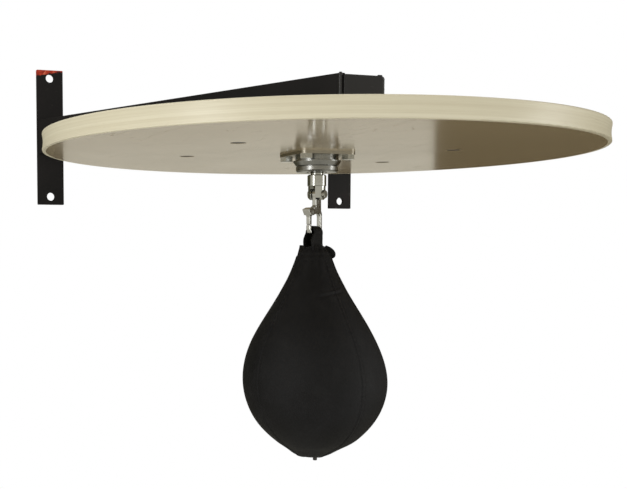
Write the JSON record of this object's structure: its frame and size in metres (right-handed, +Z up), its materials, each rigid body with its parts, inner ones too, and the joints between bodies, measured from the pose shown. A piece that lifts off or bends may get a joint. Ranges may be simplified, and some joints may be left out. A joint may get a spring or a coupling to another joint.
{
  "type": "speed bag platform",
  "caption": "Round rebound board under a V-shaped wall bracket, with a ball-bearing swivel, a snap hook and a teardrop leather speed bag hanging below its centre.",
  "frame": {"origin": "centre of the four wall holes, on the back faces of the wall plates (the wall surface)", "axes": "+X along the wall to the right as seen from the room, +Y into the wall, +Z up"},
  "size_m": [0.61, 0.673, 0.4855],
  "materials": {
    "rim_wood": "varnished, satin",
    "board_core": "sawn plywood",
    "laminate": "glossy",
    "frame_enamel": "black gloss enamel",
    "weld": "black gloss enamel over weld",
    "zinc": "zinc plated",
    "black_bolt": "blackened",
    "chrome": "polished",
    "bearing_steel": "ground",
    "cage_brass": "satin",
    "spring_steel": "drawn wire",
    "bag_leather": "fine grain, matt",
    "bladder_rubber": "smooth"
  },
  "bodies": {
    "platform": {"board_panel": "board_core", "underside_laminate": "laminate", "topside_laminate": "laminate", "rim_band": "rim_wood", "left_wall_plate": "frame_enamel", "right_wall_plate": "frame_enamel", "left_arm": "frame_enamel", "right_arm": "frame_enamel", "nose_plate": "frame_enamel", "front_crossbar": "frame_enamel", "rear_crossbar": "frame_enamel", "weld_beads": "weld", "board_bolts": "black_bolt", "board_washers": "zinc", "board_nuts": "zinc", "swivel_base_plate": "chrome", "swivel_bolts": "zinc", "swivel_washers": "zinc", "swivel_nuts": "zinc", "bearing_housing": "chrome", "bearing_cap": "chrome", "bearing_outer_race": "bearing_steel"},
    "ball_set": {"bearing_balls": "bearing_steel", "bearing_cage": "cage_brass"},
    "spindle": {"spindle_fork": "chrome", "bearing_inner_race": "bearing_steel", "spindle_washer": "zinc", "spindle_nut": "zinc", "fork_pin": "chrome", "pin_clip": "spring_steel"},
    "hook": {"snap_hook": "chrome", "gate_spring": "spring_steel"},
    "gate": {"hook_gate": "chrome", "gate_pin": "bearing_steel"},
    "bag": {"bag_loop": "bag_leather", "bag_collar": "bag_leather", "bag_shell": "bag_leather", "bag_bladder": "bladder_rubber", "bladder_valve": "bladder_rubber"}
  },
  "joints": [
    {"name": "swivel_spin", "type": "hinge", "parent": "platform", "child": "spindle", "pos_m": [0, -0.368, -0.0605], "axis": [0, 0, 1], "continuous": true},
    {"name": "ball_roll", "type": "hinge", "parent": "platform", "child": "ball_set", "pos_m": [0, -0.368, -0.0605], "axis": [0, 0, 1], "continuous": true},
    {"name": "hook_swing", "type": "hinge", "parent": "spindle", "child": "hook", "pos_m": [0, -0.368, -0.0935], "axis": [0.5446, -0.8387, 0], "range_deg": [-60, 60]},
    {"name": "gate_open", "type": "hinge", "parent": "hook", "child": "gate", "pos_m": [-0.01048, -0.37481, -0.113], "axis": [0.5446, -0.8387, 0], "range_deg": [0, 25], "stiffness_Nm_per_rad": 0.02, "springref_deg": -17.19, "deforming": ["gate_spring"]},
    {"name": "bag_swing", "type": "hinge", "parent": "hook", "child": "bag", "pos_m": [0, -0.368, -0.1364], "axis": [0.8387, 0.5446, 0], "range_deg": [-60, 60]}
  ],
  "couplings": [
    {"joint": "ball_roll", "follows": "swivel_spin", "ratio": 0.3987}
  ]
}
